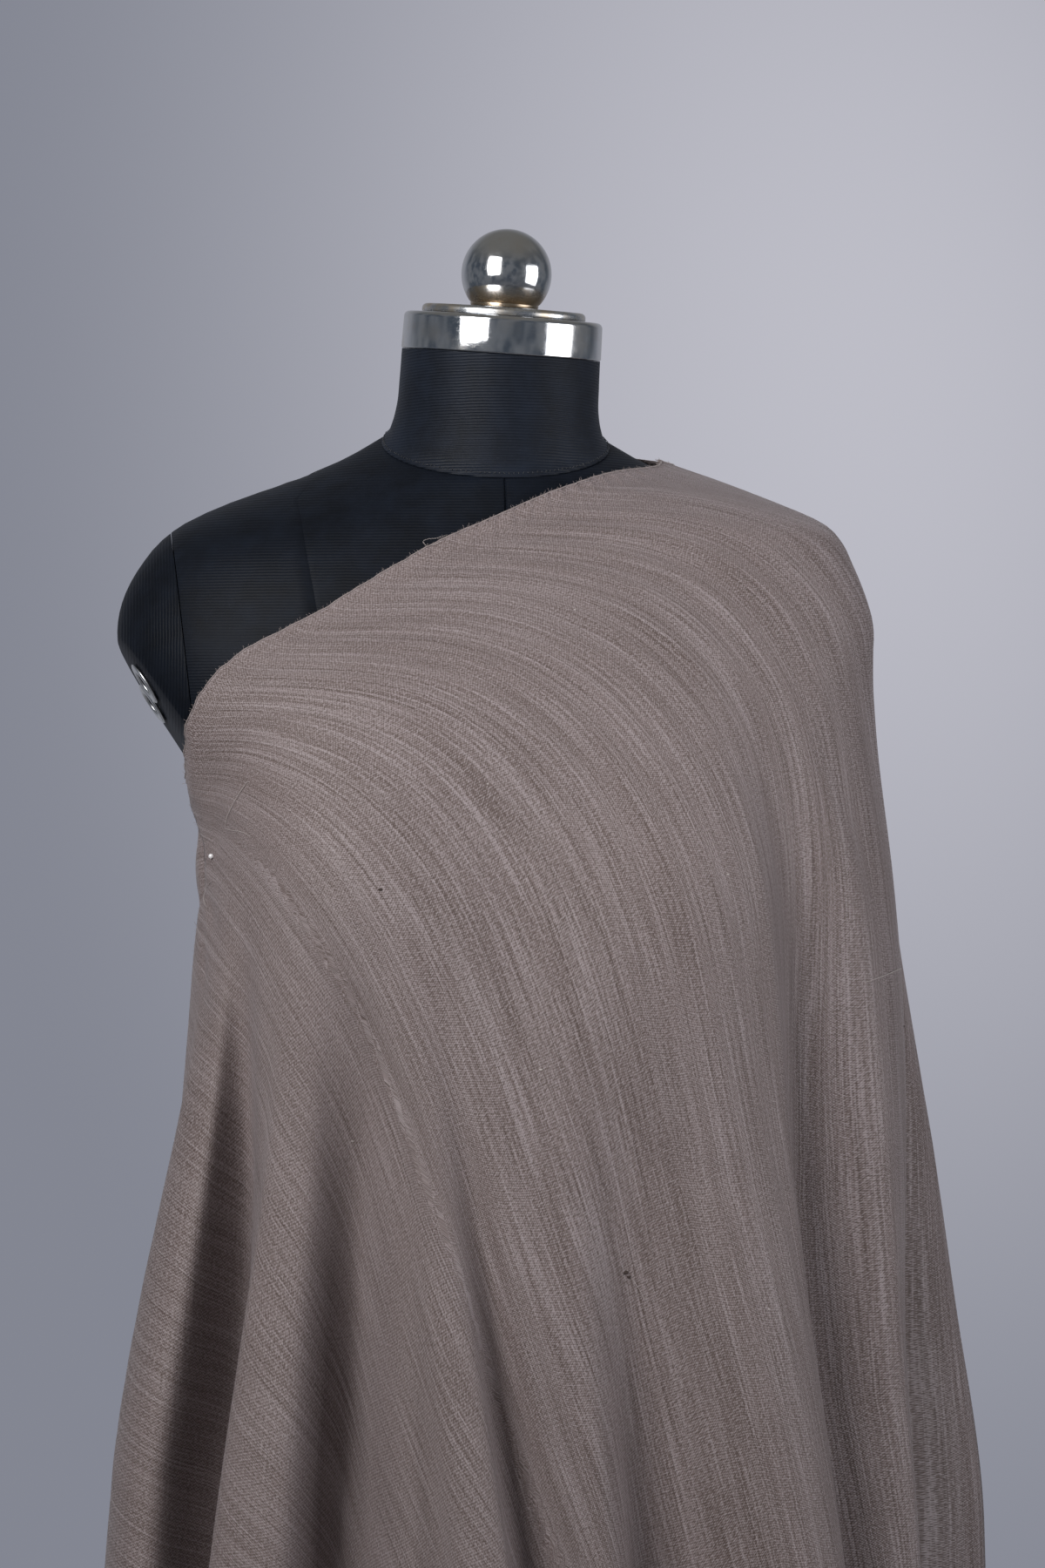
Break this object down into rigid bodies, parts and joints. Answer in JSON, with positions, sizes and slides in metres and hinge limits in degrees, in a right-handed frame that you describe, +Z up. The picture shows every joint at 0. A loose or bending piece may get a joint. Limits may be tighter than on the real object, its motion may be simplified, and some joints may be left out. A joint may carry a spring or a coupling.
{
  "type": "stole draped on a limbless dress form",
  "caption": "Taupe woven stole draped over one shoulder of a limbless black dress form with a chrome neck cap, on a pole stand with a round base.",
  "frame": {"origin": "centre of the round base's underside, on the pole's axis", "axes": "+Z up; the form faces -Y; its left shoulder, which carries the stole, is at +X"},
  "size_m": [0.5067, 0.36, 1.5044],
  "materials": {
    "taupe_wool": "woven wool and silk with streaks and a soft sheen",
    "black_jersey": "fine ribbed jersey, matte",
    "polished_chrome": "polished",
    "black_painted_steel": "satin"
  },
  "bodies": {
    "root": {"stole_front": "taupe_wool", "stole_back": "taupe_wool", "form_torso": "black_jersey", "form_neck": "black_jersey", "arm_cap_right": "black_jersey", "arm_cap_left": "black_jersey", "eyelet_right_front": "polished_chrome", "eyelet_right_rear": "polished_chrome", "eyelet_left_front": "polished_chrome", "eyelet_left_rear": "polished_chrome", "neck_ring": "polished_chrome", "cap_plate": "polished_chrome", "finial_knob": "polished_chrome", "pole": "polished_chrome", "base": "black_painted_steel"}
  },
  "joints": []
}
